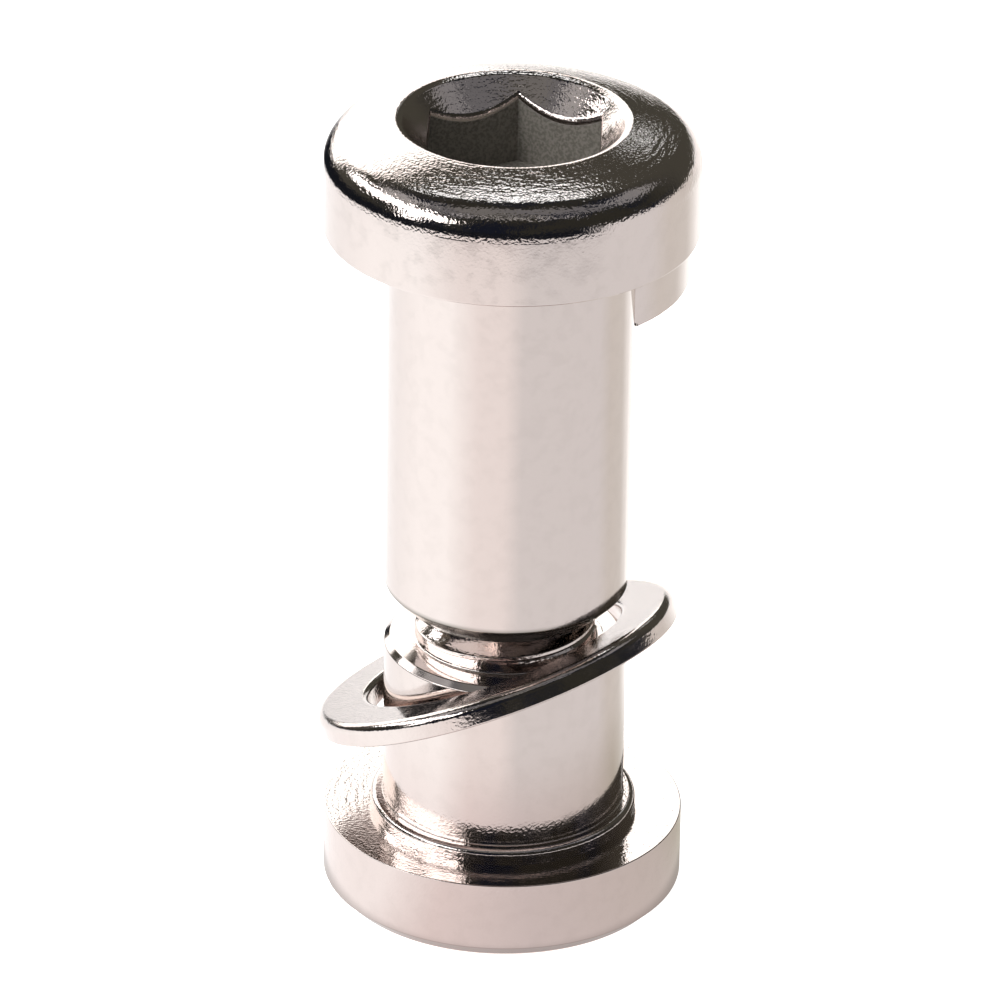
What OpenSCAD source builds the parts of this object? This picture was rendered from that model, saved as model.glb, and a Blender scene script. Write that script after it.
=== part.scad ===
// Binder bolt set for clamping a split tube: a flanged bolt with a threaded stud,
// a long sleeve nut that screws onto it, and a loose washer caught between them.
// The set stands on the bolt's head. The origin is the middle of that head's flat
// face, +Z runs up the common axis, and the nut's lug points along +X.
// The screw thread is drawn plain, at its outside diameter.

/* [Barrels and thread] */
// Diameter of the plain barrels that fill the clamp's holes
barrel_d = 8; // [7.4:0.1:10]
// Outside diameter of the screw thread
thread_d = 6; // [4:0.1:6.4]
// Clearance all round between the stud and the nut's bore
thread_clearance = 0.05; // [0.02:0.01:0.1]

/* [Bolt] */
// Diameter of the bolt's head
bolt_head_d = 11.9; // [10:0.1:16]
// Height of the bolt's head
bolt_head_h = 2.85; // [2.2:0.05:5]
// Chamfer round the head's flat face
bolt_head_chamfer = 0.5; // [0.2:0.05:1]
// How far the collar at the foot of the shoulder stands out from it
collar_step = 0.4; // [0.2:0.05:0.8]
// Height of the collar
collar_h = 0.5; // [0.2:0.05:1]
// Length of the shoulder, from the head to the shoulder's top face
shoulder_len = 6.25; // [5:0.05:12]
// Chamfer round the shoulder's top face
shoulder_chamfer = 0.2; // [0.1:0.05:0.4]
// Chamfer on the end of the stud
stud_chamfer = 0.6; // [0.3:0.05:1]

/* [Sleeve nut] */
// Length of the nut's barrel, from its end to the underside of its head
nut_barrel_len = 13.4; // [10:0.05:25]
// Chamfer round the end of the nut's barrel
nut_end_chamfer = 0.65; // [0.2:0.05:0.7]
// How far the stud's end stops short of the head when the nut is screwed home
stud_stop = 3.05; // [2.5:0.05:6]
// Spare bore beyond the stud's end when the nut is screwed home
bore_spare = 0.2; // [0.1:0.05:0.5]
// Countersink at the mouth of the threaded bore
bore_chamfer = 0.2; // [0.1:0.05:0.3]
// Diameter of the nut's head
nut_head_d = 12.2; // [10.5:0.1:16]
// Height of the head's straight side
nut_head_side_h = 2.35; // [1.5:0.05:5]
// Radius of the head's rounded corner
nut_head_corner = 1.1; // [0.5:0.05:1.4]
// Slope of the head's crown in degrees
nut_head_slope = 16; // [8:0.5:24]

/* [Lug] */
// How far the lug's arc lies inside the head's side
lug_inset = 0.32; // [0.1:0.02:1]
// How far the lug's flat runs into the barrel
lug_root = 0.2; // [0.1:0.05:1]
// Height of the lug below the head
lug_h = 1.55; // [0.8:0.05:3]

/* [Hex sockets] */
// Size of the hex key across its flats
hex_af = 5.5; // [4:0.5:6]
// How far the countersink runs out past the socket's corners
socket_chamfer = 0.62; // [0.3:0.02:0.8]
// Depth of each socket from its mouth
socket_depth = 2.95; // [2:0.05:3.3]
// Angle from the lug's direction to a corner of the nut's socket
socket_turn = 25.5; // [0:0.5:60]

/* [Washer] */
// Outside diameter of the washer
washer_d = 12.4; // [11:0.1:16]
// Thickness of the washer
washer_t = 0.75; // [0.5:0.05:1.2]
// Gap all round between the washer's bore and the barrel
washer_play = 0.42; // [0.35:0.01:0.6]
// Tilt of the washer where it hangs on the shoulder's rim
washer_tilt = 24; // [18:0.5:28]
// Direction of the washer's high side, from the lug's direction
washer_heading = -35; // [-180:1:180]
// Gap between the shoulder and the low side of the washer's bore
washer_low_gap = 0.2; // [0.1:0.02:0.3]
// Clearance between the washer and the rim that it hangs on
washer_clearance = 0.05; // [0.02:0.01:0.1]
// Gap between the washer's high side and the edge of the nut's chamfer
nut_gap = 0.88; // [0.3:0.01:5]

/* [Hidden] */
$fn = 96;

barrel_r = barrel_d / 2;
thread_r = thread_d / 2;
bolt_head_r = bolt_head_d / 2;
nut_head_r = nut_head_d / 2;

// The socket's hexagon and the mouth of its countersink, which has 45 degree walls
hex_in_r = hex_af / 2;
hex_out_r = hex_in_r / cos(30);
mouth_r = hex_out_r + socket_chamfer;

// Heights up the bolt, from the face that it stands on
collar_r = barrel_r + collar_step;
collar_z = bolt_head_h + collar_h;
shoulder_z = bolt_head_h + shoulder_len;
stud_z = shoulder_z + nut_barrel_len - stud_stop;

// The washer hangs where the lower edge of its bore, a tilted circle, crosses the
// outside of the shoulder, halfway down its chamfer. washer_reach is the cosine of
// the angle, round the bore from the high side, at which it does.
washer_bore_r = barrel_r + washer_play;
rim_r = barrel_r + washer_clearance;
rim_z = shoulder_z - shoulder_chamfer / 2 + washer_clearance;
tilt_sin = sin(washer_tilt);
tilt_cos = cos(washer_tilt);
washer_shift = barrel_r + washer_low_gap - washer_bore_r * tilt_cos;
lean = washer_shift * tilt_cos;
slack = pow(washer_shift, 2) + pow(washer_bore_r, 2) - pow(rim_r, 2);
reach_root = sqrt(pow(lean, 2) + slack * pow(tilt_sin, 2));
washer_reach = (reach_root - lean) / (washer_bore_r * pow(tilt_sin, 2));
washer_z = rim_z - washer_bore_r * tilt_sin * washer_reach;

// The nut's chamfer clears the washer's top face where that passes under the barrel's outside
washer_top_z = washer_z + washer_t / tilt_cos + (barrel_r + washer_shift) * tan(washer_tilt);
nut_z = washer_top_z + nut_gap - nut_end_chamfer;
nut_head_z = nut_z + nut_barrel_len;
nut_corner_z = nut_head_z + nut_head_side_h;

// The blind bore takes the whole stud and ends in the cone that its drill leaves
drill_point = 118;
bore_r = thread_r + thread_clearance;
bore_z = nut_head_z - stud_stop + bore_spare;
bore_tip_z = bore_z + bore_r / tan(drill_point / 2);

// The crown's slope enters the corner's arc just under its tangent, so that they cross cleanly
crown_sink = nut_head_corner / 500;
corner_r = nut_head_r - nut_head_corner;
crown_r = corner_r + (nut_head_corner - crown_sink) * sin(nut_head_slope);
crown_z = nut_corner_z + (nut_head_corner - crown_sink) * cos(nut_head_slope);
crown_apex_z = crown_z + crown_r * tan(nut_head_slope);
nut_mouth_z = crown_apex_z - mouth_r * tan(nut_head_slope);

// How far a cutting shape runs past the face that it cuts
overrun = barrel_r / 2;

// Countersunk hex socket with its mouth at the origin, cut downwards
module hex_socket() {
  translate([0, 0, -socket_depth])
    cylinder(h = socket_depth + overrun, r = hex_out_r, $fn = 6);
  translate([0, 0, hex_in_r - mouth_r])
    cylinder(h = mouth_r - hex_in_r + overrun, r1 = hex_in_r, r2 = mouth_r + overrun);
}

// Half section of the bolt, from the axis outwards
module bolt_section() {
  polygon([
    [0, 0],
    [bolt_head_r - bolt_head_chamfer, 0],
    [bolt_head_r, bolt_head_chamfer],
    [bolt_head_r, bolt_head_h],
    [collar_r, bolt_head_h],
    [collar_r, collar_z],
    [barrel_r, collar_z],
    [barrel_r, shoulder_z - shoulder_chamfer],
    [barrel_r - shoulder_chamfer, shoulder_z],
    [thread_r, shoulder_z],
    [thread_r, stud_z - stud_chamfer],
    [thread_r - stud_chamfer, stud_z],
    [0, stud_z]
  ]);
}

// Half section of the nut before its bore and socket are cut
module nut_section() {
  polygon([
    [0, nut_z],
    [barrel_r - nut_end_chamfer, nut_z],
    [barrel_r, nut_z + nut_end_chamfer],
    [barrel_r, nut_head_z],
    [nut_head_r, nut_head_z],
    [nut_head_r, nut_corner_z],
    [corner_r, nut_corner_z],
    [crown_r, crown_z],
    [0, crown_apex_z]
  ]);
  translate([corner_r, nut_corner_z])
    circle(r = nut_head_corner);
}

// Half section of the blind bore that takes the stud
module bore_section() {
  polygon([
    [0, nut_z - overrun],
    [bore_r + bore_chamfer + overrun, nut_z - overrun],
    [bore_r, nut_z + bore_chamfer],
    [bore_r, bore_z],
    [0, bore_tip_z]
  ]);
}

// Segment under the nut's head that stops the nut from turning in the clamp
module lug() {
  lug_r = nut_head_r - lug_inset;
  lug_reach_h = lug_h + nut_head_side_h / 2;
  translate([0, 0, nut_head_z - lug_h])
    intersection() {
      cylinder(h = lug_reach_h, r = lug_r);
      translate([barrel_r - lug_root, -lug_r, 0])
        cube([lug_r, 2 * lug_r, lug_reach_h]);
    }
}

// Flanged bolt with a shoulder and a stud, driven from the face that it stands on
module bolt() {
  color("silver")
    difference() {
      rotate_extrude()
        bolt_section();
      rotate([180, 0, 0])
        hex_socket();
    }
}

// Plain washer hanging askew on the rim of the bolt's shoulder
module washer() {
  color("gainsboro")
    rotate([0, 0, washer_heading])
      translate([-washer_shift, 0, washer_z])
        rotate([0, -washer_tilt, 0])
          difference() {
            cylinder(h = washer_t, d = washer_d);
            translate([0, 0, -overrun])
              cylinder(h = washer_t + 2 * overrun, r = washer_bore_r);
          }
}

// Sleeve nut with a domed head, a lug and a blind threaded bore
module sleeve_nut() {
  color("lightgray")
    difference() {
      union() {
        rotate_extrude()
          nut_section();
        lug();
      }
      rotate_extrude()
        bore_section();
      translate([0, 0, nut_mouth_z])
        rotate([0, 0, socket_turn])
          hex_socket();
    }
}

bolt();
washer();
sleeve_nut();
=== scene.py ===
"""Dresses a binder bolt set: flanged bolt, loose washer and sleeve nut in bright nickel plate.

The pieces are modelled in millimetres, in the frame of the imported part, and brought to
metres when they are finished. The axis of the set is +Z and the nut's lug points along +X.
"""

import logging
import math
from abc import ABC, abstractmethod
from collections.abc import Callable, Iterator
from contextlib import contextmanager
from dataclasses import astuple, dataclass
from enum import Enum, IntEnum
from typing import ClassVar

import bmesh
import bpy
from mathutils import Matrix, Vector


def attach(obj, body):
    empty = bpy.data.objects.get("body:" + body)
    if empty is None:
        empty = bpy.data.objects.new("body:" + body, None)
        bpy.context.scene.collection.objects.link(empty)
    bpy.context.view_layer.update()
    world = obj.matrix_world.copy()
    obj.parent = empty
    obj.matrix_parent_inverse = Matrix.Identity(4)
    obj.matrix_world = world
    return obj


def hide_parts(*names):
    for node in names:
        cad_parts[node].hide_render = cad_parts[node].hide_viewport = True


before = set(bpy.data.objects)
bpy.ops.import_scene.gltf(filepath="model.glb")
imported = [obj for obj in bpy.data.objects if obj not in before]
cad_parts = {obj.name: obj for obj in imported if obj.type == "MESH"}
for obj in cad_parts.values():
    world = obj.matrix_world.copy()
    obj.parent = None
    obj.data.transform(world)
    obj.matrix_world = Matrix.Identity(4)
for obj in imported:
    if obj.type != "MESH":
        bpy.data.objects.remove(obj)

LOG = logging.getLogger("binder_bolt")

# A millimetre in metres, and the distance in millimetres under which two points are one
MM = 0.001
WELD = 5e-4

# Faces round a turned piece and across a rounded edge, and the profile that makes an arc
SIDES = 192
EDGE_STEPS = 3
ARC = 0.5

# Angles under which faces look like one curve or are level, and the weight of large faces
SMOOTH_ANGLE = math.radians(32)
LEVEL_ANGLE = math.radians(0.3)
FLAT_WEIGHT = 90

# Blender starts a cylinder with a corner on +Y
FIRST_CORNER_DEG = 90

BLACK = (0.0, 0.0, 0.0)
WHITE = (1.0, 1.0, 1.0)

NUMBER = "NodeSocketFloat"
VECTOR = "NodeSocketVector"
PLATE_GROUP = "plate_surface"
ZONE_GROUP = "ring_zone"
ZONE_BOUNDS = ("Inner", "Outer", "Low", "High", "Flare", "Hub", "Softness")

Piece = bpy.types.Object
MeshPart = bmesh.types.BMVert | bmesh.types.BMEdge | bmesh.types.BMFace
Place = tuple[float, float, float]
Tint = tuple[float, float, float]
TintRing = tuple[tuple[float, Tint], ...]
Socket = bpy.types.NodeSocket
Source = Socket | float | Tint


class Grip(Enum):
    """What is picked out in edit mode."""

    POINTS = "VERT"
    EDGES = "EDGE"
    FACES = "FACE"


class Cut(Enum):
    """How one solid works on another."""

    REMOVE = "DIFFERENCE"
    JOIN = "UNION"
    KEEP_COMMON = "INTERSECT"


class Opening(IntEnum):
    """The way along the axis that a socket opens."""

    UP = 1
    DOWN = -1


class Corner(float, Enum):
    """Rounding of a turned or stamped corner, as a radius in millimetres."""

    SHARP = 0.0
    BURR = 0.035
    BROKEN = 0.06
    TUMBLED = 0.1
    ROLLED = 0.2
    PRESSED = 0.3


@dataclass(frozen=True)
class Stop:
    """A corner of a turned profile.

    Attributes:
        r: Distance from the axis in millimetres.
        z: Height in millimetres.
        rounding: Radius of the rounded corner in millimetres.
        steps: Faces along the rounding.
    """

    r: float
    z: float
    rounding: float = Corner.SHARP
    steps: int = 4

    @property
    def place(self) -> Vector:
        """The corner in the plane of the profile."""
        return Vector((self.r, 0, self.z))


def deselect_all() -> None:
    """Leaves nothing selected and no piece in edit mode."""
    if bpy.context.object and bpy.context.object.mode != "OBJECT":
        bpy.ops.object.mode_set(mode="OBJECT")
    bpy.ops.object.select_all(action="DESELECT")


def pick(piece: Piece) -> None:
    """Makes a piece the only selected and active one."""
    deselect_all()
    piece.select_set(True)
    bpy.context.view_layer.objects.active = piece


def settle(piece: Piece) -> None:
    """Applies a piece's place, turn and size to its mesh."""
    pick(piece)
    bpy.ops.object.transform_apply(location=True, rotation=True, scale=True)


@contextmanager
def editing(piece: Piece) -> Iterator[None]:
    """Keeps a piece in edit mode, with all of it selected at the start.

    Args:
        piece: The piece to edit.
    """
    pick(piece)
    bpy.ops.object.mode_set(mode="EDIT")
    bpy.ops.mesh.select_mode(type=Grip.POINTS.value)
    bpy.ops.mesh.select_all(action="SELECT")
    yield
    bpy.ops.object.mode_set(mode="OBJECT")


def select(piece: Piece, grip: Grip, wanted: Callable[[MeshPart], bool]) -> None:
    """Selects the parts of a piece in edit mode that a test picks out.

    Args:
        piece: The piece in edit mode.
        grip: Whether points, edges or faces are selected.
        wanted: Says of one of them whether it is selected.
    """
    bpy.ops.mesh.select_mode(type=grip.value)
    bpy.ops.mesh.select_all(action="DESELECT")
    mesh = bmesh.from_edit_mesh(piece.data)
    parts = {Grip.POINTS: mesh.verts, Grip.EDGES: mesh.edges, Grip.FACES: mesh.faces}
    for part in parts[grip]:
        part.select_set(wanted(part))
    bmesh.update_edit_mesh(piece.data)


def weld(piece: Piece) -> None:
    """Merges a piece's doubled points and turns its faces outwards."""
    with editing(piece):
        bpy.ops.mesh.remove_doubles(threshold=WELD)
        bpy.ops.mesh.normals_make_consistent(inside=False)


def slice_off(piece: Piece, place: Place, facing: Place) -> None:
    """Cuts a piece flat, takes away what lies beyond the cut and closes it.

    Args:
        piece: The piece to cut.
        place: A point of the cut.
        facing: The direction in which everything is taken away.
    """
    with editing(piece):
        bpy.ops.mesh.bisect(
            plane_co=place, plane_no=facing, use_fill=True, clear_outer=True, threshold=WELD
        )
    weld(piece)


def round_edges(
    piece: Piece, wanted: Callable[[bmesh.types.BMEdge], bool], width: float
) -> None:
    """Rounds the edges of a piece that a test picks out.

    Args:
        piece: The piece to round.
        wanted: Says of an edge whether it is to be rounded.
        width: Width of the rounding in millimetres.
    """
    with editing(piece):
        select(piece, Grip.EDGES, wanted)
        bpy.ops.mesh.bevel(offset=width, segments=EDGE_STEPS, profile=ARC, clamp_overlap=False)


def apply_modifier(piece: Piece, kind: str, **settings: object) -> None:
    """Adds a modifier with its settings to a piece and applies it.

    Args:
        piece: The piece to change.
        kind: Blender's name of the modifier.
        settings: Values for the modifier's properties.
    """
    pick(piece)
    modifier = piece.modifiers.new(kind.lower(), kind)
    for setting, value in settings.items():
        setattr(modifier, setting, value)
    bpy.ops.object.modifier_apply(modifier=modifier.name)


def work(piece: Piece, tool: Piece, cut: Cut) -> None:
    """Cuts a piece with a tool, or joins the tool to it, and uses up the tool.

    Args:
        piece: The piece that stays.
        tool: The solid that is used up.
        cut: What the tool does to the piece.
    """
    apply_modifier(piece, "BOOLEAN", object=tool, operation=cut.value, solver="MANIFOLD")
    bpy.data.objects.remove(tool)


def draw_profile(name: str, stops: list[Stop]) -> Piece:
    """Draws a profile in the XZ plane by extruding one point from stop to stop.

    Args:
        name: Name of the new object.
        stops: Corners of the profile in order.

    Returns:
        The profile, an open chain of edges with its corners rounded.
    """
    deselect_all()
    bpy.ops.mesh.primitive_plane_add(size=1, location=stops[0].place)
    profile = bpy.context.object
    profile.name = name
    settle(profile)
    with editing(profile):
        bpy.ops.mesh.merge(type="CENTER")
        for here, there in zip(stops, stops[1:]):
            step = (there.r - here.r, 0, there.z - here.z)
            bpy.ops.mesh.extrude_vertices_move(TRANSFORM_OT_translate={"value": step})
        for before, stop, after in zip(stops, stops[1:], stops[2:]):
            if stop.rounding:
                round_profile_corner(profile, before, stop, after)
    return profile


def round_profile_corner(profile: Piece, before: Stop, stop: Stop, after: Stop) -> None:
    """Rounds one corner of a profile that is in edit mode.

    Args:
        profile: The profile being drawn.
        before: The stop before the corner.
        stop: The corner.
        after: The stop after the corner.
    """
    corner = stop.place
    opening = (before.place - corner).angle(after.place - corner)
    reach = stop.rounding / math.tan(opening / 2)
    select(profile, Grip.POINTS, lambda point: (point.co - corner).length < WELD)
    bpy.ops.mesh.bevel(affect="VERTICES", offset=reach, segments=stop.steps, profile=ARC)


def turn(name: str, stops: list[Stop]) -> Piece:
    """Turns a profile round the axis into a solid, as on a lathe.

    Args:
        name: Name of the new piece.
        stops: Corners of the profile, from the axis back to it or round to the first one.

    Returns:
        The turned solid.
    """
    piece = draw_profile(name, stops)
    with editing(piece):
        bpy.ops.mesh.spin(steps=SIDES, angle=math.tau, center=(0, 0, 0), axis=(0, 0, 1))
    weld(piece)
    return piece


@dataclass(frozen=True)
class HexSocket:
    """Countersunk hex socket, a drilled pilot hole that a hex broach opens.

    Attributes:
        mouth_z: Height of the mouth.
        opens: The way that it opens.
        turn_deg: Angle from +X to a corner of the hexagon.
        flats: Width of the hex key across its flats.
        mouth_r: Radius of the countersink's mouth.
        depth: Depth of the socket from its mouth.
        lead: Width of the shallow ring round the countersink.
        lead_deg: Slope of that ring.
        pilot_gap: How far the pilot hole stays inside the hexagon and above its floor.
        edge: Rounding of the scalloped edge between the countersink and the walls.
        crowding: Distance under which points along that edge are merged.
        upright: Steepest rise of a wall's normal.
        sloping: Least rise of the countersink's normal.
    """

    mouth_z: float
    opens: Opening
    turn_deg: float = 0.0
    flats: float = 5.5
    mouth_r: float = 3.795
    depth: float = 2.95
    lead: float = 0.2
    lead_deg: float = 25.0
    pilot_gap: float = 0.05
    edge: float = 0.12
    crowding: float = 0.04
    upright: float = 0.01
    sloping: float = 0.6

    @property
    def corner_r(self) -> float:
        """Distance from the axis to the hexagon's corners."""
        return self.flats / 2 / math.cos(math.radians(30))

    def height(self, depth: float) -> float:
        """Height of what lies at a depth under the mouth."""
        return self.mouth_z - self.opens * depth

    def stops(self) -> list[Stop]:
        """Profile of the pilot hole and the countersink, from the axis to the mouth.

        Returns:
            The stops, the mouth's own corner last.
        """
        pilot_r = self.flats / 2 - self.pilot_gap
        floor_z = self.height(self.depth - self.pilot_gap)
        lead_drop = self.lead * math.tan(math.radians(self.lead_deg))
        return [
            Stop(0, floor_z),
            Stop(pilot_r, floor_z),
            Stop(pilot_r, self.height(self.mouth_r - pilot_r)),
            Stop(self.mouth_r - self.lead, self.height(lead_drop), Corner.ROLLED),
            Stop(self.mouth_r, self.mouth_z, Corner.ROLLED, 6),
        ]

    def broach(self, piece: Piece) -> None:
        """Cuts the hexagon and rounds the scalloped edge that it leaves.

        Args:
            piece: The piece with the pilot hole.
        """
        deselect_all()
        bpy.ops.mesh.primitive_cylinder_add(
            vertices=6,
            radius=self.corner_r,
            depth=2 * self.depth,
            location=(0, 0, self.mouth_z),
            rotation=(0, 0, math.radians(self.turn_deg - FIRST_CORNER_DEG)),
        )
        hexagon = bpy.context.object
        settle(hexagon)
        work(piece, hexagon, Cut.REMOVE)
        self.clear_edge(piece)
        round_edges(piece, self.is_scallop, self.edge)

    def clear_edge(self, piece: Piece) -> None:
        """Merges level triangles and close points in the socket, which crowd its scalloped edge.

        Args:
            piece: The piece with the socket.
        """
        with editing(piece):
            select(piece, Grip.FACES, self.is_inside)
            bpy.ops.mesh.dissolve_limited(angle_limit=LEVEL_ANGLE)
            bpy.ops.mesh.remove_doubles(threshold=self.crowding)

    def is_inside(self, face: bmesh.types.BMFace) -> bool:
        """Says whether a face lies in the socket, within its shallow ring."""
        middle = face.calc_center_median()
        deep = self.opens * (self.mouth_z - middle.z)
        return middle.xy.length < self.mouth_r - self.lead and 0 < deep < self.depth

    def is_scallop(self, edge: bmesh.types.BMEdge) -> bool:
        """Says whether an edge lies between the countersink and a wall of the hexagon.

        Args:
            edge: The edge to look at.

        Returns:
            True on the scalloped edge.
        """
        middle = (edge.verts[0].co + edge.verts[1].co) / 2
        deep = self.opens * (self.mouth_z - middle.z)
        start = self.mouth_r - self.corner_r - self.lead
        end = self.mouth_r - self.flats / 2 + self.lead
        if len(edge.link_faces) != 2 or not start < deep < end:
            return False
        wall, slope = sorted(abs(face.normal.z) for face in edge.link_faces)
        in_hexagon = middle.xy.length < self.corner_r
        return in_hexagon and wall < self.upright and slope > self.sloping


@dataclass(frozen=True)
class ScrewThread:
    """Right-hand metric thread along +Z.

    Attributes:
        crest_r: Radius of the thread's crest.
        root_r: Radius of its root.
        low_z: Height at which it starts.
        high_z: Height at which it ends.
        spread: How much wider than standard its ridge is, for the clearance of a tap.
        pitch: Rise in one turn.
        crest_flat: Width of the flat on the crest.
        root_flat: Width of the flat in the root.
        phase_z: Height of a crest on the +X side.
        steps: Faces in one turn.
    """

    crest_r: float
    root_r: float
    low_z: float
    high_z: float
    spread: float = 0.0
    pitch: float = 1.0
    crest_flat: float = 0.125
    root_flat: float = 0.2
    phase_z: float = 9.926
    steps: int = 96

    def build(self, name: str) -> Piece:
        """Winds the ridge along the axis and cuts both ends square.

        Args:
            name: Name of the new solid.

        Returns:
            The threaded rod as a closed solid.
        """
        crest = (self.crest_flat + self.spread) / 2
        root = self.pitch / 2 - (self.root_flat - self.spread) / 2
        turns_below = math.ceil((self.phase_z - self.low_z) / self.pitch) + 1
        start_z = self.phase_z - turns_below * self.pitch
        turns = math.ceil((self.high_z - start_z) / self.pitch) + 2
        rod = draw_profile(name, [
            Stop(self.root_r, start_z - self.pitch / 2),
            Stop(self.root_r, start_z - root),
            Stop(self.crest_r, start_z - crest, Corner.BURR, 2),
            Stop(self.crest_r, start_z + crest, Corner.BURR, 2),
            Stop(self.root_r, start_z + root),
            Stop(self.root_r, start_z + self.pitch / 2),
        ])
        apply_modifier(
            rod, "SCREW", axis="Z", angle=math.tau, screw_offset=self.pitch,
            iterations=turns, steps=self.steps, render_steps=self.steps,
        )
        weld(rod)
        slice_off(rod, (0, 0, self.low_z), (0, 0, -1))
        slice_off(rod, (0, 0, self.high_z), (0, 0, 1))
        return rod


class NodeSheet:
    """A node tree with short ways of adding nodes to it."""

    def __init__(self, tree: bpy.types.NodeTree) -> None:
        """Opens a tree."""
        self.nodes, self.links = tree.nodes, tree.links

    def feed(self, socket: Socket, source: Source) -> None:
        """Links a source to a socket, or sets the socket to a plain value or colour.

        Args:
            socket: The input to feed.
            source: An output of another node, a number or a colour.
        """
        if isinstance(source, Socket):
            self.links.new(source, socket)
        elif isinstance(source, tuple):
            socket.default_value = (*source, 1)
        else:
            socket.default_value = source

    def fill(self, node: bpy.types.Node, inputs: dict[str, Source]) -> None:
        """Feeds inputs of a node by name."""
        for name, source in inputs.items():
            self.feed(node.inputs[name], source)

    def add(
        self, kind: str, inputs: dict[str, Source] | None = None, **settings: object
    ) -> bpy.types.Node:
        """Adds a node, sets it up and feeds its inputs.

        Args:
            kind: Blender's name of the node, without the first part that all share.
            inputs: What feeds its inputs, by name.
            settings: Values for its properties.

        Returns:
            The new node.
        """
        node = self.nodes.new(f"ShaderNode{kind}")
        for setting, value in settings.items():
            setattr(node, setting, value)
        self.fill(node, inputs or {})
        return node

    def math(self, operation: str, *sources: Source) -> Socket:
        """Adds a math node.

        Args:
            operation: Blender's name of the operation.
            sources: What feeds its inputs, in order.

        Returns:
            The node's output.
        """
        node = self.add("Math", operation=operation)
        for socket, source in zip(node.inputs, sources):
            self.feed(socket, source)
        return node.outputs["Value"]

    def noise(self, place: Socket, scale: Source, detail: float) -> Socket:
        """Adds a grey noise, read at a place, by its scale and its number of finer layers."""
        return self.add("TexNoise", {"Vector": place, "Scale": scale, "Detail": detail}).outputs["Fac"]

    def ramp(
        self, source: Source, start: Source, end: Source, low: float = 0.0, high: float = 1.0
    ) -> Socket:
        """Adds a soft step.

        Args:
            source: The value that is mapped.
            start: The value at which the step starts.
            end: The value at which it ends.
            low: What it gives before the step.
            high: What it gives after it.

        Returns:
            The step's output.
        """
        given = {"Value": source, "From Min": start, "From Max": end, "To Min": low, "To Max": high}
        return self.add("MapRange", given, interpolation_type="SMOOTHSTEP").outputs["Result"]

    def blend(self, factor: Source, first: Source, second: Source) -> Socket:
        """Adds a mix of two colours, the factor being the share of the second."""
        given = {"Factor": factor, "A": first, "B": second}
        return self.add("Mix", given, data_type="RGBA").outputs["Result"]

    def colours(self, around: Source, tints: TintRing) -> Socket:
        """Adds a ring of colours.

        Args:
            around: Where it is read, from 0 at -180 degrees to 1 at 180 degrees.
            tints: The colours by azimuth in degrees.

        Returns:
            The colour.
        """
        node = self.add("ValToRGB", {"Fac": around})
        stops = node.color_ramp.elements
        while len(stops) < len(tints):
            stops.new(0.5)
        for stop, (azimuth_deg, tint) in zip(stops, tints):
            stop.position = part_of_turn(azimuth_deg)
            stop.color = (*tint, 1)
        return node.outputs["Color"]

    def millimetres(self, place: Socket) -> Socket:
        """Adds a node that brings a place in metres to millimetres."""
        given = {"Vector": place, "Scale": 1 / MM}
        return self.add("VectorMath", given, operation="SCALE").outputs["Vector"]

    def parts(self, place: Socket) -> bpy.types.NodeOutputs:
        """Adds a node that splits a place into its outputs X, Y and Z."""
        return self.add("SeparateXYZ", {"Vector": place}).outputs

    def radius(self, split: bpy.types.NodeOutputs) -> Socket:
        """Adds nodes for the distance from the axis of a place that is split."""
        squares = [self.math("MULTIPLY", split[axis], split[axis]) for axis in ("X", "Y")]
        return self.math("SQRT", self.math("ADD", *squares))


def part_of_turn(azimuth_deg: float) -> float:
    """Brings an azimuth to the range from 0 at -180 degrees to 1 at 180 degrees."""
    return azimuth_deg / 360 + 0.5


def node_group(name: str, inputs: dict[str, str], outputs: list[str]) -> bpy.types.NodeTree:
    """Makes an empty shader node group.

    Args:
        name: Name of the group.
        inputs: Kinds of its inputs by name.
        outputs: Names of its outputs, all plain numbers.

    Returns:
        The group with its sockets.
    """
    group = bpy.data.node_groups.new(name, "ShaderNodeTree")
    for socket, kind in inputs.items():
        group.interface.new_socket(socket, in_out="INPUT", socket_type=kind)
    for socket in outputs:
        group.interface.new_socket(socket, in_out="OUTPUT", socket_type=NUMBER)
    return group


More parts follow.
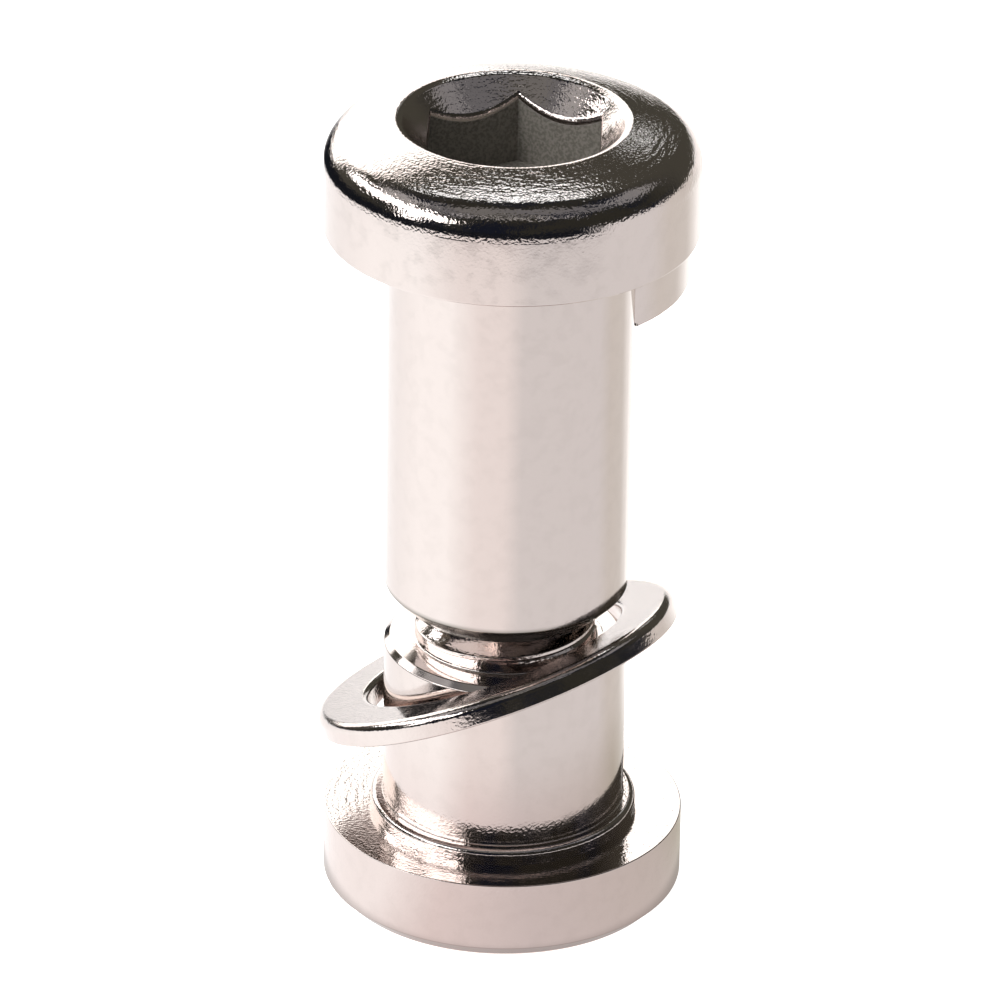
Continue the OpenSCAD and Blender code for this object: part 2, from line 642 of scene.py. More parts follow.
@dataclass(frozen=True)
class Zone:
    """Ring-shaped part of a piece, in millimetres.

    Attributes:
        inner: Distance from the axis at which it starts.
        outer: Distance from the axis at which it ends.
        low: Height at which it starts.
        high: Height at which it ends.
        flare: How much both heights rise for each millimetre outside the hub.
        hub: Distance from the axis within which they are level.
        softness: Width over which its edges fade out.
    """

    inner: float
    outer: float
    low: float
    high: float
    flare: float = 0.0
    hub: float = 0.0
    softness: float = 0.05

    def mask(self, sheet: NodeSheet, place: Socket) -> Socket:
        """Adds the mask of this zone to a material.

        Args:
            sheet: The material's nodes.
            place: Object coordinates.

        Returns:
            A value that is 1 in the zone and 0 outside.
        """
        tree = bpy.data.node_groups.get(ZONE_GROUP) or self.group()
        bounds = dict(zip(ZONE_BOUNDS, astuple(self)))
        return sheet.add("Group", {"Place": place, **bounds}, node_tree=tree).outputs["Mask"]

    @staticmethod
    def group() -> bpy.types.NodeTree:
        """Makes the node group that finds a zone.

        Returns:
            The group.
        """
        inputs = {"Place": VECTOR, **{bound: NUMBER for bound in ZONE_BOUNDS}}
        group = node_group(ZONE_GROUP, inputs, ["Mask"])
        sheet = NodeSheet(group)
        given = sheet.nodes.new("NodeGroupInput").outputs
        split = sheet.parts(sheet.millimetres(given["Place"]))
        radius = sheet.radius(split)
        beyond_hub = sheet.math("MAXIMUM", sheet.math("SUBTRACT", radius, given["Hub"]), 0.0)
        level = sheet.math("SUBTRACT", split["Z"], sheet.math("MULTIPLY", beyond_hub, given["Flare"]))
        mask: Source = 1.0
        for reach, low, high in ((radius, "Inner", "Outer"), (level, "Low", "High")):
            start, end = given[low], given[high]
            inside = sheet.ramp(reach, sheet.math("SUBTRACT", start, given["Softness"]), start)
            beyond = sheet.ramp(reach, end, sheet.math("ADD", end, given["Softness"]), 1.0, 0.0)
            mask = sheet.math("MULTIPLY", mask, sheet.math("MULTIPLY", inside, beyond))
        sheet.fill(sheet.nodes.new("NodeGroupOutput"), {"Mask": mask})
        return group


@dataclass(frozen=True)
class Plating:
    """Bright nickel plate.

    Attributes:
        name: Name of the material.
        faced: The parts with a grainy, faced surface.
        drive: The dull hex socket.
        painted_shade_zone: The part darkened by painted shade, the nut's end and chamfer where they
            stand over the washer and the shoulder.
        tint: Colour of the bright plate.
        shade: Colour of its duller patches.
        drive_tint: Colour in the socket.
        drive_shade: Colour of the dark specks there.
        painted_shade_tint: Colour of that painted shade.
        drive_metal: How metallic the socket still looks.
        gloss: Roughness where it is brightest.
        dull: Roughness in its duller patches.
        drive_rough: Roughness in the socket.
        grain: Size of the fine grain in millimetres.
        mottle: Size of the duller patches in millimetres.
        relief: Height of the grain on the faced part in millimetres.
        tooling: Height of the marks of the lathe tool in millimetres.
    """

    name: str
    faced: tuple[Zone, ...]
    drive: Zone
    painted_shade_zone: Zone
    tint: Tint = (0.67, 0.598, 0.57)
    shade: Tint = (0.652, 0.582, 0.554)
    drive_tint: Tint = (0.22, 0.204, 0.18)
    drive_shade: Tint = (0.14, 0.129, 0.111)
    painted_shade_tint: Tint = (0.2, 0.19, 0.165)
    drive_metal: float = 0.25
    gloss: float = 0.095
    dull: float = 0.13
    drive_rough: float = 0.42
    grain: float = 0.095
    mottle: float = 0.55
    relief: float = 0.0105
    tooling: float = 0.013

    def material(self) -> bpy.types.Material:
        """Makes the material of this plate.

        Returns:
            A node material that reads object coordinates.
        """
        made = bpy.data.materials.new(self.name)
        made.use_nodes = True
        sheet = NodeSheet(made.node_tree)
        place = sheet.add("TexCoord").outputs["Object"]
        skin = self.skin(sheet, place)
        drive = self.drive.mask(sheet, place)
        plate = sheet.blend(skin["Dullness"], self.tint, self.shade)
        # Painted shade: the nut's end is darkened in its colour where it stands over the washer and
        # the shoulder.
        shaded_plate = sheet.blend(self.painted_shade_zone.mask(sheet, place), plate, self.painted_shade_tint)
        speckled = sheet.blend(skin["Speckle"], self.drive_shade, self.drive_tint)
        polish = sheet.ramp(skin["Dullness"], 0.0, 1.0, self.gloss, self.dull)
        bump = sheet.add("Bump", {"Distance": MM, "Height": skin["Height"]})
        sheet.fill(sheet.nodes["Principled BSDF"], {
            "Base Color": sheet.blend(drive, shaded_plate, speckled),
            "Metallic": sheet.ramp(drive, 0.0, 1.0, 1.0, self.drive_metal),
            "Roughness": sheet.math("MULTIPLY_ADD", drive, self.drive_rough - self.gloss, polish),
            "Normal": bump.outputs["Normal"],
        })
        return made

    def skin(self, sheet: NodeSheet, place: Socket) -> bpy.types.NodeOutputs:
        """Places the group of the plate's skin in a material, with this plate's own values.

        Args:
            sheet: The material's nodes.
            place: Object coordinates.

        Returns:
            The group's outputs.
        """
        faced: Source = 0.0
        for zone in self.faced:
            faced = sheet.math("MAXIMUM", faced, zone.mask(sheet, place))
        given = {
            "Place": place,
            "Faced": faced,
            "Grain size": self.grain,
            "Mottle size": self.mottle,
            "Grain height": self.relief,
            "Tool mark height": self.tooling,
        }
        tree = bpy.data.node_groups.get(PLATE_GROUP) or plate_surface()
        return sheet.add("Group", given, node_tree=tree).outputs


def plate_surface() -> bpy.types.NodeTree:
    """Makes the node group for the skin of a plated piece.

    Returns:
        The group, with the plate's dullness, its specks and its height in millimetres.
    """
    plain_grain, ring_pitch, ring_sweep = 0.12, 7.0, 1.2
    dull_band, speck_band = (0.42, 0.68), (0.36, 0.64)
    values = ("Faced", "Grain size", "Mottle size", "Grain height", "Tool mark height")
    inputs = {"Place": VECTOR, **{value: NUMBER for value in values}}
    group = node_group(PLATE_GROUP, inputs, ["Dullness", "Speckle", "Height"])
    sheet = NodeSheet(group)
    given = sheet.nodes.new("NodeGroupInput").outputs
    place = sheet.millimetres(given["Place"])
    split = sheet.parts(place)
    grain = sheet.noise(place, sheet.math("DIVIDE", 1.0, given["Grain size"]), 1.0)
    mottle = sheet.noise(place, sheet.math("DIVIDE", 1.0, given["Mottle size"]), 4.0)
    ring = sheet.add("CombineXYZ", {
        "X": sheet.math("MULTIPLY", sheet.radius(split), ring_pitch),
        "Y": sheet.math("MULTIPLY", split["X"], ring_sweep),
        "Z": sheet.math("MULTIPLY", split["Y"], ring_sweep),
    })
    marks = sheet.noise(ring.outputs["Vector"], 1.0, 1.5)
    level_grain, level_marks = (sheet.math("SUBTRACT", made, 0.5) for made in (grain, marks))
    share = sheet.ramp(given["Faced"], 0.0, 1.0, plain_grain, 1.0)
    raised = sheet.math("MULTIPLY", sheet.math("MULTIPLY", level_grain, given["Grain height"]), share)
    tooled = sheet.math("MULTIPLY", given["Faced"], given["Tool mark height"])
    turned = sheet.math("MULTIPLY", level_marks, tooled)
    sheet.fill(sheet.nodes.new("NodeGroupOutput"), {
        "Dullness": sheet.ramp(mottle, *dull_band),
        "Speckle": sheet.ramp(grain, *speck_band),
        "Height": sheet.math("ADD", raised, turned),
    })
    return group


NOWHERE = Zone(0.0, 0.0, -1.0, -1.0)
NUT_PLATE = Plating(
    "nut_nickel",
    faced=(Zone(0.0, 9.0, 26.15, 30.0),),
    drive=Zone(0.0, 3.3, 24.0, 26.5, flare=1.12, hub=2.75),
    # Painted shade darkens the nut's end and chamfer.
    painted_shade_zone=Zone(0.0, 5.0, 0.0, 11.1, softness=0.25),
)
BOLT_PLATE = Plating(
    "bolt_nickel",
    faced=(Zone(3.6, 5.9, 2.0, 3.5, softness=1.3), Zone(0.0, 3.2, 9.0, 11.0)),
    drive=Zone(0.0, 3.3, 1.24, 5.0, flare=-1.12, hub=2.75),
    painted_shade_zone=NOWHERE,
    relief=0.0065,
    tooling=0.005,
)
WASHER_PLATE = Plating(
    "washer_nickel",
    faced=(Zone(0.0, 9.0, 0.0, 20.0),),
    drive=NOWHERE,
    painted_shade_zone=NOWHERE,
    relief=0.0055,
    tooling=0.0,
)


class PlatedPiece(ABC):
    """A piece of the set, modelled in millimetres and dressed in its plate.

    Attributes:
        node: The node and body that it stands for.
        slot: Name of a slot for its finish, which nothing in the script reads.
        plate: Its finish.
    """

    node: ClassVar[str]
    slot: ClassVar[str]
    plate: ClassVar[Plating]

    @abstractmethod
    def build(self) -> Piece:
        """Models the piece, in millimetres."""

    def dress(self, piece: Piece) -> None:
        """Smooths a piece, brings it to metres, plates it and puts it in its node's place.

        Args:
            piece: The modelled piece, in millimetres.
        """
        pick(piece)
        bpy.ops.object.shade_smooth_by_angle(angle=SMOOTH_ANGLE, keep_sharp_edges=False)
        apply_modifier(piece, "WEIGHTED_NORMAL", keep_sharp=True, weight=FLAT_WEIGHT)
        piece.scale = (MM, MM, MM)
        settle(piece)
        piece.data.materials.clear()
        piece.data.materials.append(self.plate.material())
        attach(piece, self.node)
        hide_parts(self.node)
        LOG.info("%s: %d faces", piece.name, len(piece.data.polygons))


@dataclass
class BinderBolt(PlatedPiece):
    """Lower piece: flanged head, collar, shoulder and threaded stud.

    Attributes:
        head_r: Radius of the head.
        head_h: Height of the head.
        head_chamfer: Chamfer round the face that it stands on.
        dish: How much the flange's seat sinks towards the collar.
        collar_r: Radius of the collar at the foot of the shoulder.
        collar_z: Height of the collar's top face.
        shoulder_r: Radius of the shoulder.
        shoulder_z: Height of the shoulder's top face.
        rim: Chamfer round the shoulder's top face.
        neck_r: Radius of the plain neck under the thread.
        neck_z: Height at which the neck ends.
        stud_r: Radius of the thread's crest.
        root_r: Radius of its root.
        stud_z: Height of the stud's end.
        stud_chamfer: Chamfer on the stud's end.
        socket: The hex socket in the face that it stands on.
    """

    node: ClassVar[str] = "bolt"
    slot: ClassVar[str] = "bolt_plating"
    plate: ClassVar[Plating] = BOLT_PLATE

    head_r: float = 5.95
    head_h: float = 2.85
    head_chamfer: float = 0.5
    dish: float = 0.08
    collar_r: float = 4.4
    collar_z: float = 3.29
    shoulder_r: float = 4.0
    shoulder_z: float = 9.1
    rim: float = 0.2
    neck_r: float = 2.95
    neck_z: float = 9.55
    stud_r: float = 2.98
    root_r: float = 2.43
    stud_z: float = 19.45
    stud_chamfer: float = 0.6
    socket: HexSocket = HexSocket(0.0, Opening.DOWN)

    def build(self) -> Piece:
        """Turns the bolt, screws on its thread and broaches its socket.

        Returns:
            The bolt, in millimetres.
        """
        root_z = self.neck_z + self.neck_r - self.root_r
        bolt = turn("bolt_plated", [
            *self.socket.stops(),
            Stop(self.head_r - self.head_chamfer, 0, Corner.BROKEN),
            Stop(self.head_r, self.head_chamfer, Corner.BROKEN),
            Stop(self.head_r, self.head_h, Corner.BURR),
            Stop(self.collar_r, self.head_h - self.dish),
            Stop(self.collar_r, self.collar_z, Corner.ROLLED, 6),
            Stop(self.shoulder_r, self.collar_z, Corner.BURR),
            Stop(self.shoulder_r, self.shoulder_z - self.rim, Corner.BROKEN),
            Stop(self.shoulder_r - self.rim, self.shoulder_z, Corner.BROKEN),
            Stop(self.neck_r, self.shoulder_z, Corner.TUMBLED),
            Stop(self.neck_r, self.neck_z),
            Stop(self.root_r, root_z),
            Stop(0, root_z),
        ])
        work(bolt, self.stud(), Cut.JOIN)
        self.socket.broach(bolt)
        return bolt

    def stud(self) -> Piece:
        """Winds the stud's thread and turns a chamfer on both its ends.

        Returns:
            The threaded stud, reaching down into the neck.
        """
        low_z = self.neck_z - self.rim
        outside_r = self.stud_r + self.rim
        thread = ScrewThread(self.stud_r, self.root_r, low_z, self.stud_z).build("stud_thread")
        blank = turn("stud_blank", [
            Stop(0, low_z - self.rim),
            Stop(self.neck_r, low_z - self.rim),
            Stop(outside_r, self.neck_z + self.rim),
            Stop(outside_r, self.stud_z - self.stud_chamfer - self.rim),
            Stop(self.stud_r - self.stud_chamfer, self.stud_z),
            Stop(0, self.stud_z),
        ])
        work(thread, blank, Cut.KEEP_COMMON)
        return thread


@dataclass
class LooseWasher(PlatedPiece):
    """Plain stamped washer hanging askew on the rim of the bolt's shoulder.

    Attributes:
        outer_r: Outside radius.
        bore_r: Radius of the bore.
        thickness: Thickness of the sheet.
        tilt_deg: Tilt of the washer.
        heading_deg: Direction of its high side from +X.
        shift: How far its middle lies from the axis, towards the low side.
        z: Height of the middle of its lower face.
    """

    node: ClassVar[str] = "washer"
    slot: ClassVar[str] = "washer_plating"
    plate: ClassVar[Plating] = WASHER_PLATE

    outer_r: float = 6.2
    bore_r: float = 4.42
    thickness: float = 0.75
    tilt_deg: float = 24.0
    heading_deg: float = -35.0
    shift: float = 0.162
    z: float = 7.60

    def build(self) -> Piece:
        """Turns the ring and hangs it in its place.

        Returns:
            The washer, in millimetres.
        """
        middle = (self.outer_r + self.bore_r) / 2
        washer = turn("washer_plated", [
            Stop(middle, 0),
            Stop(self.outer_r, 0, Corner.BROKEN),
            Stop(self.outer_r, self.thickness, Corner.PRESSED, 8),
            Stop(self.bore_r, self.thickness, Corner.ROLLED),
            Stop(self.bore_r, 0, Corner.BROKEN),
            Stop(middle, 0),
        ])
        washer.rotation_euler = (0, -math.radians(self.tilt_deg), 0)
        washer.location = (-self.shift, 0, self.z)
        settle(washer)
        washer.rotation_euler = (0, 0, math.radians(self.heading_deg))
        settle(washer)
        return washer


@dataclass
class SleeveNut(PlatedPiece):
    """Upper piece: domed head with a hex socket, lug and long threaded barrel.

    Attributes:
        end_z: Height of the barrel's end.
        end_chamfer: Chamfer round the barrel's end.
        barrel_r: Radius of the barrel.
        head_z: Height of the head's underside.
        head_r: Radius of the head.
        slope_deg: Slope of the crown.
        dome_deg: How much flatter it starts and how much steeper it ends.
        dome_steps: Faces along the dome.
        corner: Radius of the head's rounded corner.
        corner_steps: Faces along that corner.
        lug_r: Radius of the lug's arc.
        lug_x: Distance of the lug's flat from the axis.
        lug_z: Height of the lug's lower face.
        bore_r: Radius of the drilled bore, before it is tapped.
        bore_tip_z: Height of the drill's tip.
        bore_mouth: Countersink at the mouth of the bore.
        drill_deg: Angle of the drill's tip.
        tap_r: Radius of the tap.
        tap_root_r: Radius of the tap's root.
        tap_z: Height at which the tapped bore ends.
        tap_play: How much wider the tap's ridge is than the stud's.
        socket: The hex socket in the crown.
    """

    node: ClassVar[str] = "sleeve_nut"
    slot: ClassVar[str] = "nut_plating"
    plate: ClassVar[Plating] = NUT_PLATE

    end_z: float = 10.504
    end_chamfer: float = 0.65
    barrel_r: float = 4.0
    head_z: float = 23.904
    head_r: float = 6.1
    slope_deg: float = 16.0
    dome_deg: float = 4.0
    dome_steps: int = 6
    corner: float = 1.1
    corner_steps: int = 14
    lug_r: float = 5.78
    lug_x: float = 3.8
    lug_z: float = 22.354
    bore_r: float = 2.53
    bore_tip_z: float = 22.886
    bore_mouth: float = 0.2
    drill_deg: float = 118.0
    tap_r: float = 3.05
    tap_root_r: float = 2.48
    tap_z: float = 20.9
    tap_play: float = 0.06
    socket: HexSocket = HexSocket(27.741, Opening.UP, turn_deg=25.5)

    def build(self) -> Piece:
        """Turns the nut, adds its lug, taps its bore and broaches its socket.

        Returns:
            The nut, in millimetres.
        """
        tap_mouth_r = self.tap_r + self.bore_mouth
        drill_cone = self.bore_r / math.tan(math.radians(self.drill_deg / 2))
        nut = turn("sleeve_nut_plated", [
            *self.socket.stops(),
            *self.crown(),
            Stop(self.head_r, self.head_z, Corner.TUMBLED),
            Stop(self.barrel_r, self.head_z, Corner.TUMBLED),
            Stop(self.barrel_r, self.end_z + self.end_chamfer, Corner.TUMBLED),
            Stop(self.barrel_r - self.end_chamfer, self.end_z, Corner.BROKEN),
            Stop(tap_mouth_r, self.end_z, Corner.BURR),
            Stop(self.bore_r, self.end_z + tap_mouth_r - self.bore_r),
            Stop(self.bore_r, self.bore_tip_z - drill_cone),
            Stop(0, self.bore_tip_z),
        ])
        work(nut, self.lug(), Cut.JOIN)
        tap = ScrewThread(
            self.tap_r, self.tap_root_r, self.end_z - self.end_chamfer, self.tap_z, self.tap_play
        )
        work(nut, tap.build("tap"), Cut.REMOVE)
        self.socket.broach(nut)
        return nut

    def crown(self) -> list[Stop]:
        """Profile of the domed crown, from the socket's mouth to the head's rounded corner.

        Returns:
            The stops along the dome, the corner last.
        """
        mouth_r, mouth_z = self.socket.mouth_r, self.socket.mouth_z
        flattest = math.radians(self.slope_deg - self.dome_deg)
        steepest = math.radians(self.slope_deg + self.dome_deg)
        edge_r = self.head_r - self.corner * (1 - math.sin(steepest))
        dome_r = (edge_r - mouth_r) / (math.sin(steepest) - math.sin(flattest))
        shares = [step / self.dome_steps for step in range(1, self.dome_steps)]
        slopes = [flattest + (steepest - flattest) * share for share in shares]
        dome = [
            Stop(
                mouth_r + dome_r * (math.sin(slope) - math.sin(flattest)),
                mouth_z - dome_r * (math.cos(flattest) - math.cos(slope)),
            )
            for slope in slopes
        ]
        edge_z = mouth_z - dome_r * (math.cos(flattest) - math.cos(steepest))
        corner_z = edge_z - (self.head_r - edge_r) * math.tan(steepest)
        return [*dome, Stop(self.head_r, corner_z, self.corner, self.corner_steps)]

    def lug(self) -> Piece:
        """Cuts the lug's segment from a disc and rounds the edges of its flat.

        Returns:
            The lug, reaching up into the head.
        """
        top_z = (self.head_z + self.socket.mouth_z) / 2
        lug = turn("lug", [
            Stop(0, self.lug_z),
            Stop(self.lug_r, self.lug_z, Corner.BROKEN),
            Stop(self.lug_r, top_z),
            Stop(0, top_z),
        ])
        slice_off(lug, (self.lug_x, 0, 0), (-1, 0, 0))
        flat_x = self.lug_x + WELD
        round_edges(lug, lambda edge: all(v.co.x < flat_x for v in edge.verts), Corner.TUMBLED)
        return lug


def direction(azimuth_deg: float, elevation_deg: float) -> Vector:
    """Direction from the set, with azimuth 0 towards the viewer and 90 to the right.

    Args:
        azimuth_deg: The azimuth.
        elevation_deg: Height above the horizon.

    Returns:
        The direction, one long.
    """
    azimuth, elevation = math.radians(azimuth_deg), math.radians(elevation_deg)
    return Vector((
        math.sin(azimuth) * math.cos(elevation),
        -math.cos(azimuth) * math.cos(elevation),
        math.sin(elevation),
    ))


def lay_disc(name: str, radius: float, z: float) -> tuple[Piece, NodeSheet]:
    """Lays a round sheet under the set, with a paint of its own.

    Args:
        name: Name of the sheet and its paint.
        radius: Its radius in metres.
        z: Its height in metres.

    Returns:
        The sheet and the nodes of its paint.
    """
    deselect_all()
    bpy.ops.mesh.primitive_circle_add(
        vertices=SIDES, radius=radius, fill_type="NGON", location=(0, 0, z)
    )
    disc = bpy.context.object
    disc.name = name
    settle(disc)
    paint = bpy.data.materials.new(name)
    paint.use_nodes = True
    disc.data.materials.append(paint)
    return disc, NodeSheet(paint.node_tree)


@dataclass(frozen=True)
class PaleFloor:
    """Round pale floor under the set.

    Attributes:
        radius: Its radius in metres.
        tint: Colour of its paint.
        rough: Roughness of its paint.
        sheen: How much it mirrors.
        glow: Brightness that it has by itself, 1 being the white of the picture.
    """

    radius: float = 3.0
    tint: Tint = (0.9, 0.895, 0.89)
    rough: float = 0.9
    sheen: float = 0.1
    glow: float = 0.94

    def build(self) -> None:
        """Lays the floor."""
        _, sheet = lay_disc("pale_floor", self.radius, 0.0)
        sheet.fill(sheet.nodes["Principled BSDF"], {
            "Base Color": self.tint,
            "Roughness": self.rough,
            "Specular IOR Level": self.sheen,
            "Emission Color": WHITE,
            "Emission Strength": self.glow,
        })


@dataclass(frozen=True)
class PaintedLightCard:
    """Round glowing card on the floor that only mirrors show, painted light that stands in for the lit
    floor, pale under the set and dark further off.

    Attributes:
        radius: Its radius in metres.
        lift: Its height over the floor in metres.
        radiance: Brightness of its whitest part, 1 being the white of the picture.
        tints: Its colours by azimuth in degrees, painted light of the floor, brightest on the left and
            darker from the front right round to the right behind.
        foot_shade_tints: Its colours close to the set with painted shade, by azimuth in degrees,
            darkest on the right.
        foot_shade_reach: Radii between which that painted shade fades out, in millimetres.
        contact_tint: Colour of the shadow under the foot.
        contact_reach: Radii between which that shadow fades out, in millimetres.
        contact_shade: Depth of that shadow.
        dark_tint: Colour of the dark part.
        dark_reach: Radii between which the dark part starts, in millimetres.
        dark_from: Azimuths between which it starts, on the left.
        dark_to: Azimuths between which it ends, on the right.
    """

    radius: float = 3.0
    lift: float = MM / 10
    radiance: float = 1.5
    # Painted light of the floor: pale on the left, darker to the right.
    tints: TintRing = (
        (-125, (0.87, 0.87, 0.87)),
        (-90, (0.97, 0.98, 0.98)),
        (-58, (0.97, 0.98, 0.98)),
        (-30, (0.81, 0.775, 0.765)),
        (-5, (0.79, 0.755, 0.745)),
        (10, (0.64, 0.63, 0.63)),
        (88, (0.62, 0.61, 0.61)),
        (104, (0.57, 0.55, 0.52)),
        (126, (0.57, 0.55, 0.52)),
        (145, (0.87, 0.86, 0.84)),
    )
    # Painted shade of the floor round the foot, darkest and yellowest on the right.
    foot_shade_tints: TintRing = (
        (-90, (0.9, 0.88, 0.88)),
        (-58, (0.9, 0.88, 0.88)),
        (-30, (0.71, 0.635, 0.627)),
        (10, (0.57, 0.52, 0.515)),
        (80, (0.5, 0.465, 0.44)),
        (110, (0.4, 0.375, 0.32)),
        (150, (0.6, 0.58, 0.55)),
    )
    foot_shade_reach: tuple[float, float] = (10.0, 17.0)
    contact_tint: Tint = (0.1, 0.09, 0.08)
    contact_reach: tuple[float, float] = (6.2, 7.0)
    contact_shade: float = 0.45
    dark_tint: Tint = (0.006, 0.007, 0.01)
    dark_reach: tuple[float, float] = (62.0, 68.0)
    dark_from: tuple[float, float] = (-172, -160)
    dark_to: tuple[float, float] = (40, 60)

    def build(self) -> None:
        """Lays the card and hides it from all but mirrors."""
        card, sheet = lay_disc("painted_light_card", self.radius, self.lift)
        sheet.fill(sheet.nodes["Principled BSDF"], {
            "Base Color": BLACK,
            "Specular IOR Level": 0.0,
            # The card glows by itself: painted light, no lamp.
            "Emission Color": self.glow(sheet),
            "Emission Strength": self.radiance,
        })
        card.visible_camera = False
        card.visible_diffuse = False
        card.visible_shadow = False

    def glow(self, sheet: NodeSheet) -> Socket:
        """Adds the card's colours to its paint.

        Args:
            sheet: The paint's nodes.

        Returns:
            The colour in which the card shines.
        """
        split = sheet.parts(sheet.millimetres(sheet.add("TexCoord").outputs["Object"]))
        radius = sheet.radius(split)
        azimuth = sheet.math("ARCTAN2", split["X"], sheet.math("MULTIPLY", split["Y"], -1.0))
        around = sheet.math("MULTIPLY_ADD", azimuth, 1 / math.tau, 0.5)
        # Painted shade close to the foot, then the painted shadow under it.
        away_from_foot = sheet.ramp(radius, *self.foot_shade_reach)
        foot, beyond = (sheet.colours(around, tints) for tints in (self.foot_shade_tints, self.tints))
        contact = sheet.ramp(radius, *self.contact_reach, self.contact_shade, 0.0)
        pale = sheet.blend(contact, sheet.blend(away_from_foot, foot, beyond), self.contact_tint)
        starts = sheet.ramp(around, *map(part_of_turn, self.dark_from))
        ends = sheet.ramp(around, *map(part_of_turn, self.dark_to), 1.0, 0.0)
        sector = sheet.math("MULTIPLY", starts, ends)
        dark = sheet.math("MULTIPLY", sheet.ramp(radius, *self.dark_reach), sector)
        return sheet.blend(dark, pale, self.dark_tint)


@dataclass(frozen=True)
class DarkRoom:
    """Soft light of the room, and the dark walls that the plating mirrors.

    Attributes:
        fill_tint: Soft light from all sides.
        wall_shade: Colour of the front walls' darker patches.
        wall_tint: Colour of their lighter patches.
        back_tint: Colour of the wall behind the set.
        patch_scale: How often the patches repeat.
        patch_band: Values of the noise between which a patch grows lighter.
        back_band: How far behind the set the wall's colour changes.
    """

    fill_tint: Tint = (0.16, 0.16, 0.16)
    wall_shade: Tint = (0.008, 0.011, 0.022)
    wall_tint: Tint = (0.034, 0.033, 0.026)
    back_tint: Tint = (0.075, 0.072, 0.058)
    patch_scale: float = 2.2
    patch_band: tuple[float, float] = (0.4, 0.6)
    back_band: tuple[float, float] = (0.0, 0.6)

    def build(self) -> None:
        """Gives the scene its world."""
        world = bpy.data.worlds.new("studio")
        bpy.context.scene.world = world
        world.use_nodes = True
        sheet = NodeSheet(world.node_tree)
        away = sheet.add("TexCoord").outputs["Generated"]
        patches = sheet.ramp(sheet.noise(away, self.patch_scale, 1.0), *self.patch_band)
        front = sheet.blend(patches, self.wall_shade, self.wall_tint)
        behind = sheet.ramp(sheet.parts(away)["Y"], *self.back_band)
        walls = sheet.nodes["Background"]
        sheet.fill(walls, {"Color": sheet.blend(behind, front, self.back_tint)})
        fill = sheet.add("Background", {"Color": self.fill_tint})
        mirrored = sheet.add("LightPath").outputs["Is Glossy Ray"]
        mix = sheet.add("MixShader", {"Fac": mirrored})
        for socket, light in zip(mix.inputs[1:], (fill, walls)):
            sheet.feed(socket, light.outputs["Background"])
        sheet.fill(sheet.nodes["World Output"], {"Surface": mix.outputs["Shader"]})
        bpy.context.scene.view_settings.view_transform = "Standard"


@dataclass(frozen=True)
class SoftBox:
    """An area light aimed at the middle of the set.

    Attributes:
        name: Name of the light.
        azimuth_deg: Direction from the set, 0 towards the viewer and 90 to the right.
        elevation_deg: Height above the horizon.
        distance: Distance from the set in metres.
        width: Width of the panel in metres.
        height: Height of the panel in metres.
        radiance: Brightness of the panel, 1 being the white of the picture.
        colour: Colour of its light.
        in_reflections: Whether the plating mirrors the panel.
    """

    name: str
    azimuth_deg: float
    elevation_deg: float
    distance: float
    width: float
    height: float
    radiance: float
    colour: Tint = WHITE
    in_reflections: bool = True

    def place(self, aim: Vector) -> None:
        """Hangs the light.

        Args:
            aim: The point that it faces.
        """
        away = direction(self.azimuth_deg, self.elevation_deg)
        deselect_all()
        bpy.ops.object.light_add(type="AREA", location=aim + away * self.distance)
        lamp = bpy.context.object
        lamp.name = self.name
        lamp.rotation_euler = away.to_track_quat("Z", "Y").to_euler()
        lamp.data.shape = "RECTANGLE"
        lamp.data.size = self.width
        lamp.data.size_y = self.height
        lamp.data.energy = self.radiance * math.pi * self.width * self.height
        lamp.data.color = self.colour
        lamp.visible_glossy = self.in_reflections
        lamp.visible_camera = False
        LOG.info("%s: %.3f W", self.name, lamp.data.energy)


@dataclass(frozen=True)
class PhotoCamera:
    """Camera of the picture.

    Attributes:
        photo_width: Width of the picture in pixels.
        focal_px: Focal length in pixels.
        sensor: Width of the sensor in millimetres.
        distance: Distance from the point that it looks at, in millimetres.
        elevation_deg: Its elevation.
        azimuth_deg: Its azimuth, positive to the right.
        roll_deg: The turn that makes the set lean to the right.
        axis_px: How far right of the picture's middle the axis lies there, in pixels.
        sight: Distances between which it sees, as shares of its own distance.
    """

    photo_width: float = 1000.0
    focal_px: float = 8816.8
    sensor: float = 36.0
    distance: float = 288.7
    elevation_deg: float = 26.82
    azimuth_deg: float = -2.0
    roll_deg: float = 0.95
    axis_px: float = 7.4
    sight: tuple[float, float] = (0.01, 20.0)

    def place(self, aim: Vector) -> None:
        """Sets up the camera.

        Args:
            aim: The point on the axis that it looks at.
        """
        back = direction(self.azimuth_deg, self.elevation_deg)
        deselect_all()
        bpy.ops.object.camera_add(location=aim + back * self.distance * MM)
        camera = bpy.context.object
        camera.name = "photo_camera"
        look = (-back).to_track_quat("-Z", "Y").to_matrix()
        roll = Matrix.Rotation(math.radians(self.roll_deg), 3, "Z")
        aside = Matrix.Rotation(math.atan(self.axis_px / self.focal_px), 3, "Y")
        camera.rotation_euler = (look @ roll @ aside).to_euler()
        camera.data.sensor_width = self.sensor
        camera.data.lens = self.focal_px * self.sensor / self.photo_width
        near, far = self.sight
        camera.data.clip_start = near * self.distance * MM
        camera.data.clip_end = far * self.distance * MM
        bpy.context.scene.camera = camera


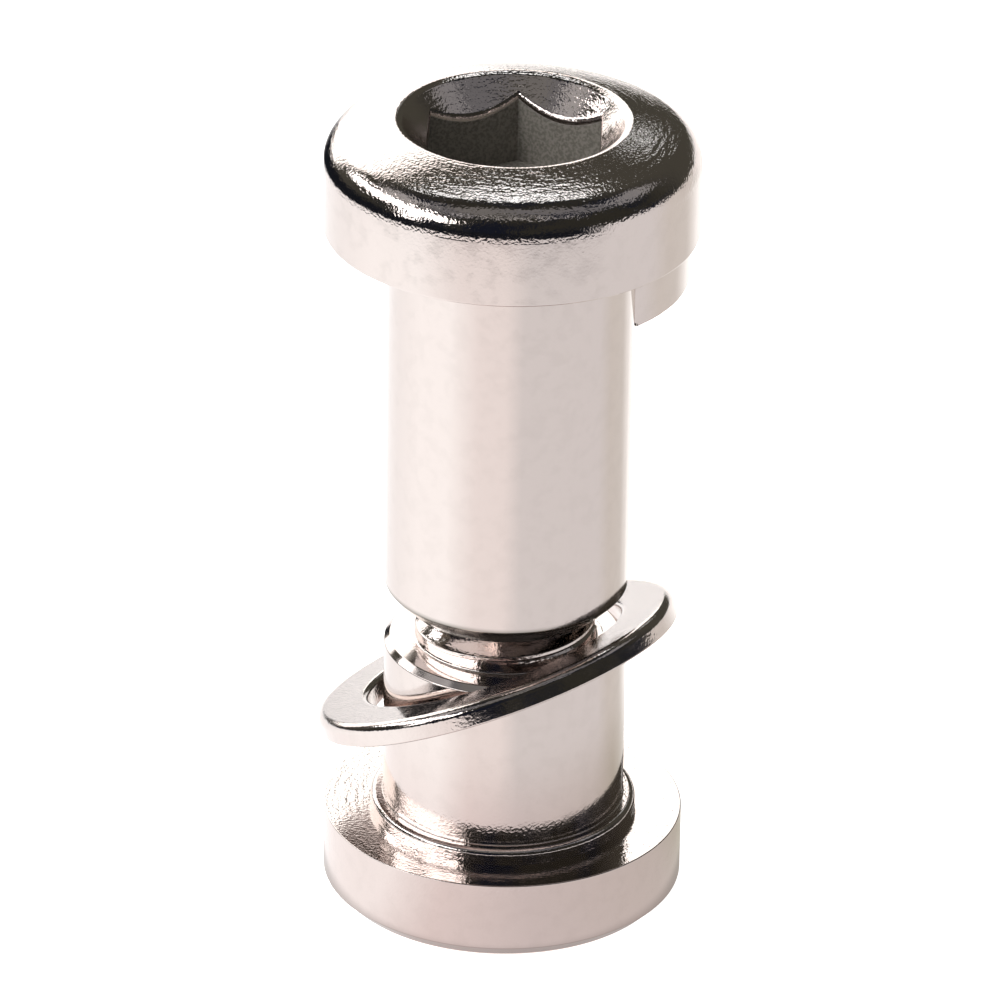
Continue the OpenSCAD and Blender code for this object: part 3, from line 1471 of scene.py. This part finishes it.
@dataclass
class Studio:
    """Pale floor, glowing card of painted light, dark room, soft lights and the camera.

    Attributes:
        aim_z: Height on the axis that the lights and the camera face, in millimetres.
        floor: The floor.
        card: The glowing card of painted light that the plating mirrors.
        room: The room's walls and soft light.
        lights: The lights, each by azimuth, elevation, distance, width, height and radiance.
        camera: The camera.
    """

    aim_z: float = 14.05
    floor: PaleFloor = PaleFloor()
    card: PaintedLightCard = PaintedLightCard()
    room: DarkRoom = DarkRoom()
    lights: tuple[SoftBox, ...] = (
        SoftBox("back_panel", 202, 24, 0.3, 0.267, 0.25, 2.1, (1.0, 0.98, 0.95)),
        SoftBox("left_window", -80, 29, 0.3, 0.46, 0.075, 3.8),
        SoftBox("left_high_window", -88, 46, 0.3, 0.14, 0.07, 0.45),
        SoftBox("left_low_strip", -65, 13, 0.3, 0.06, 0.08, 3.0),
        SoftBox("top_back_strip", 182, 66.5, 0.5, 0.32, 0.06, 2.3, (0.9, 0.97, 1.0)),
        SoftBox("right_back_strip", 162, 31, 0.3, 0.012, 0.05, 1.6, (0.9, 0.97, 1.0)),
        SoftBox("front_strip", -3, 50, 0.5, 0.65, 0.035, 0.5),
        SoftBox("front_ceiling", 0, 68, 0.5, 0.9, 0.17, 0.18),
        SoftBox("right_panel", 95, 45, 0.4, 0.2, 0.12, 0.28),
        SoftBox("socket_key", -75, 48, 0.3, 0.1, 0.1, 26.0, in_reflections=False),
        SoftBox("floor_wash", 0, 89, 1.0, 1.2, 1.2, 0.5, in_reflections=False),
    )
    camera: PhotoCamera = PhotoCamera()

    def build(self) -> None:
        """Lays the floor and the card, lights the room and sets up the camera."""
        self.floor.build()
        self.card.build()
        self.room.build()
        aim = Vector((0, 0, self.aim_z * MM))
        for box in self.lights:
            box.place(aim)
        self.camera.place(aim)


def main() -> None:
    """Builds the studio and the three pieces in order."""
    logging.basicConfig(level=logging.INFO, format="%(name)s %(message)s")
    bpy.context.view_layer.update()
    Studio().build()
    for part in (BinderBolt(), LooseWasher(), SleeveNut()):
        part.dress(part.build())


if __name__ == "__main__":
    main()
